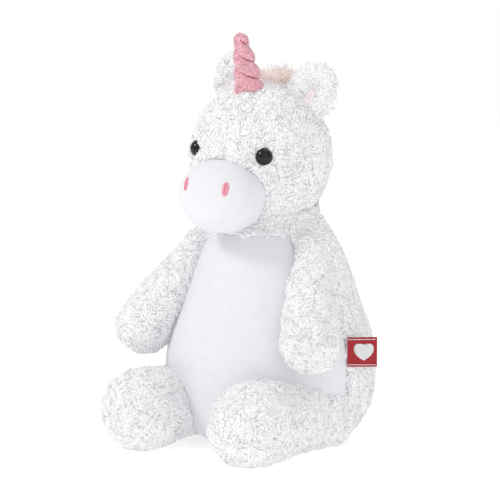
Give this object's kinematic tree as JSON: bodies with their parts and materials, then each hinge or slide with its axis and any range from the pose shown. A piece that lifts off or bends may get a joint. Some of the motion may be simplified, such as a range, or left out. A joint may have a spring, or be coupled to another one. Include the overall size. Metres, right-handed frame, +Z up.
{
  "type": "plush unicorn",
  "caption": "Seated plush unicorn with a smooth belly panel, spiral horn, safety eyes, hinged soft limbs and a zipped seat over a removable stuffing pod.",
  "frame": {"origin": "middle of the flat seat, on the surface that the toy sits on", "axes": "+Z up through the head, -Y the way the toy faces, +X to the toy's own left"},
  "size_m": [0.196, 0.2377, 0.3117],
  "materials": {
    "white_fur": "curly short plush",
    "white_velboa": "smooth short pile",
    "pink_fur": "long fluffy pile",
    "pink_boucle": "sparkly looped fabric",
    "pink_cord": "twisted thread",
    "pink_satin": "satin stitch",
    "pink_lining": "smooth short pile",
    "black_gloss": "polished",
    "washer_plastic": "moulded",
    "pod_cloth": "non-woven",
    "stuffing": "polyester fibre",
    "woven_label": "satin ribbon",
    "zip_tape": "woven tape",
    "zip_nylon": "moulded coil",
    "zip_metal": "white enamel"
  },
  "bodies": {
    "torso": {"seat_panel": "white_fur", "belly_panel": "white_velboa", "back_panel": "white_fur", "body_pod_liner": "pod_cloth", "body_pod_fill": "stuffing", "zip_tape_front": "zip_tape", "zip_tape_back": "zip_tape", "zip_teeth_front": "zip_nylon", "zip_teeth_back": "zip_nylon", "zip_stops": "zip_metal"},
    "label": {"side_label": "woven_label"},
    "zip_slider": {"zip_slider": "zip_metal"},
    "zip_pull": {"zip_pull": "zip_metal"},
    "neck": {"neck_fill": "stuffing"},
    "head": {"head_cover": "white_fur", "head_pod_liner": "pod_cloth", "head_pod_fill": "stuffing", "muzzle_cover": "white_velboa", "muzzle_fill": "stuffing", "forelock": "pink_fur", "mane": "pink_fur", "left_eye": "black_gloss", "left_eye_washer": "washer_plastic", "left_nostril": "pink_satin", "right_eye": "black_gloss", "right_eye_washer": "washer_plastic", "right_nostril": "pink_satin"},
    "horn": {"horn_cover": "pink_boucle", "horn_fill": "stuffing", "horn_cord": "pink_cord"},
    "tail": {"tail": "pink_fur"},
    "left_ear": {"left_ear_back": "white_fur", "left_ear_lining": "pink_lining"},
    "left_arm": {"left_arm_cover": "white_fur", "left_arm_fill": "stuffing"},
    "left_leg": {"left_leg_cover": "white_fur", "left_leg_fill": "stuffing"},
    "right_ear": {"right_ear_back": "white_fur", "right_ear_lining": "pink_lining"},
    "right_arm": {"right_arm_cover": "white_fur", "right_arm_fill": "stuffing"},
    "right_leg": {"right_leg_cover": "white_fur", "right_leg_fill": "stuffing"}
  },
  "joints": [
    {"name": "neck_turn", "type": "hinge", "parent": "torso", "child": "neck", "pos_m": [0, 0, 0.16], "axis": [0, 0, 1], "range_deg": [-25, 25], "stiffness_Nm_per_rad": 0.6},
    {"name": "head_nod", "type": "hinge", "parent": "neck", "child": "head", "pos_m": [0, 0, 0.16], "axis": [1, 0, 0], "range_deg": [-20, 12], "stiffness_Nm_per_rad": 3},
    {"name": "left_arm_raise", "type": "hinge", "parent": "torso", "child": "left_arm", "pos_m": [0.054, -0.018, 0.148], "axis": [-0.9326, 0, 0.361], "range_deg": [0, 90], "stiffness_Nm_per_rad": 0.12},
    {"name": "left_leg_lift", "type": "hinge", "parent": "torso", "child": "left_leg", "pos_m": [0.054, -0.006, 0.025], "axis": [-1, 0, 0], "range_deg": [-45, 10], "stiffness_Nm_per_rad": 0.5},
    {"name": "left_ear_fold", "type": "hinge", "parent": "head", "child": "left_ear", "pos_m": [0.03526, -0.006, 0.25492], "axis": [0.8483, 0.2924, -0.4416], "range_deg": [-20, 20], "stiffness_Nm_per_rad": 0.02},
    {"name": "right_arm_raise", "type": "hinge", "parent": "torso", "child": "right_arm", "pos_m": [-0.054, -0.018, 0.148], "axis": [-0.9326, 0, -0.361], "range_deg": [0, 90], "stiffness_Nm_per_rad": 0.12},
    {"name": "right_leg_lift", "type": "hinge", "parent": "torso", "child": "right_leg", "pos_m": [-0.054, -0.006, 0.025], "axis": [-1, 0, 0], "range_deg": [-45, 10], "stiffness_Nm_per_rad": 0.5},
    {"name": "right_ear_fold", "type": "hinge", "parent": "head", "child": "right_ear", "pos_m": [-0.03062, -0.006, 0.25894], "axis": [0.9554, -0.2924, 0.0417], "range_deg": [-20, 20], "stiffness_Nm_per_rad": 0.02},
    {"name": "horn_bend", "type": "hinge", "parent": "head", "child": "horn", "pos_m": [0.00287, -0.031, 0.26591], "axis": [0.9981, 0, -0.061], "range_deg": [-14, 14], "stiffness_Nm_per_rad": 0.03},
    {"name": "tail_swing", "type": "hinge", "parent": "torso", "child": "tail", "pos_m": [0, 0.087, 0.054], "axis": [1, 0, 0], "range_deg": [0, 60], "stiffness_Nm_per_rad": 0.02},
    {"name": "label_flap", "type": "hinge", "parent": "torso", "child": "label", "pos_m": [0.07912, -0.01042, 0.062], "axis": [0, 0, 1], "range_deg": [-50, 30], "stiffness_Nm_per_rad": 0.001},
    {"name": "zip_slide", "type": "slide", "parent": "torso", "child": "zip_slider", "axis": [1, 0, 0], "range_m": [0, 0.066]},
    {"name": "pull_flip", "type": "hinge", "parent": "zip_slider", "child": "zip_pull", "pos_m": [-0.038, 0.022, 0.0012], "axis": [0, 1, 0], "range_deg": [0, 150]}
  ]
}
